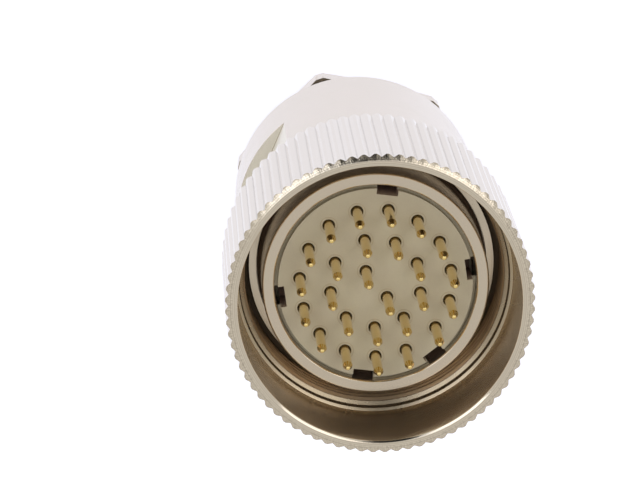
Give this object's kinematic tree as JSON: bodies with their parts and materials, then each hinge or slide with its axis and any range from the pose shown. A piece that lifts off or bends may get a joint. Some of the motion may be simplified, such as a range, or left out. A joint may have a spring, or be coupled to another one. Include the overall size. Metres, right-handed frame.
{
  "type": "circular cable plug",
  "caption": "Straight circular cable plug with round pins in a keyed insert, a knurled free-turning coupling nut and a hexagonal cable clamp.",
  "frame": {"origin": "on the plug's axis, at the rear face of the clamp nut, which it stands on", "axes": "+Z along the mating axis, towards the pins; +Y through the main keyway of the insert"},
  "size_m": [0.0314, 0.0314, 0.053],
  "materials": {
    "nickel_plate": "nickel plated brass, satin to bright",
    "gold_plate": "gold plated brass, polished",
    "insert_plastic": "glass-filled moulding, fine matt",
    "black_rubber": "black rubber, matt",
    "spring_steel": "phosphated spring steel"
  },
  "bodies": {
    "plug": {"plug_shell": "nickel_plate", "seat_ring": "nickel_plate", "foot_o_ring": "black_rubber", "spigot_o_ring": "black_rubber", "insert_front": "insert_plastic", "insert_rear": "insert_plastic", "snap_ring": "spring_steel", "rear_body": "nickel_plate", "cable_seal": "black_rubber", "thrust_washer": "nickel_plate", "clamp_nut": "nickel_plate", "pin_01": "gold_plate", "pin_02": "gold_plate", "pin_03": "gold_plate", "pin_04": "gold_plate", "pin_05": "gold_plate", "pin_06": "gold_plate", "pin_07": "gold_plate", "pin_08": "gold_plate", "pin_09": "gold_plate", "pin_10": "gold_plate", "pin_11": "gold_plate", "pin_12": "gold_plate", "pin_13": "gold_plate", "pin_14": "gold_plate", "pin_15": "gold_plate", "pin_16": "gold_plate", "pin_17": "gold_plate", "pin_18": "gold_plate", "pin_19": "gold_plate", "pin_20": "gold_plate", "pin_21": "gold_plate", "pin_22": "gold_plate", "pin_23": "gold_plate", "pin_24": "gold_plate", "pin_25": "gold_plate", "pin_26": "gold_plate"},
    "nut": {"coupling_nut": "nickel_plate"}
  },
  "joints": [
    {"name": "nut_spin", "type": "hinge", "parent": "plug", "child": "nut", "pos_m": [0, 0, 0.0439], "axis": [0, 0, 1], "continuous": true}
  ]
}
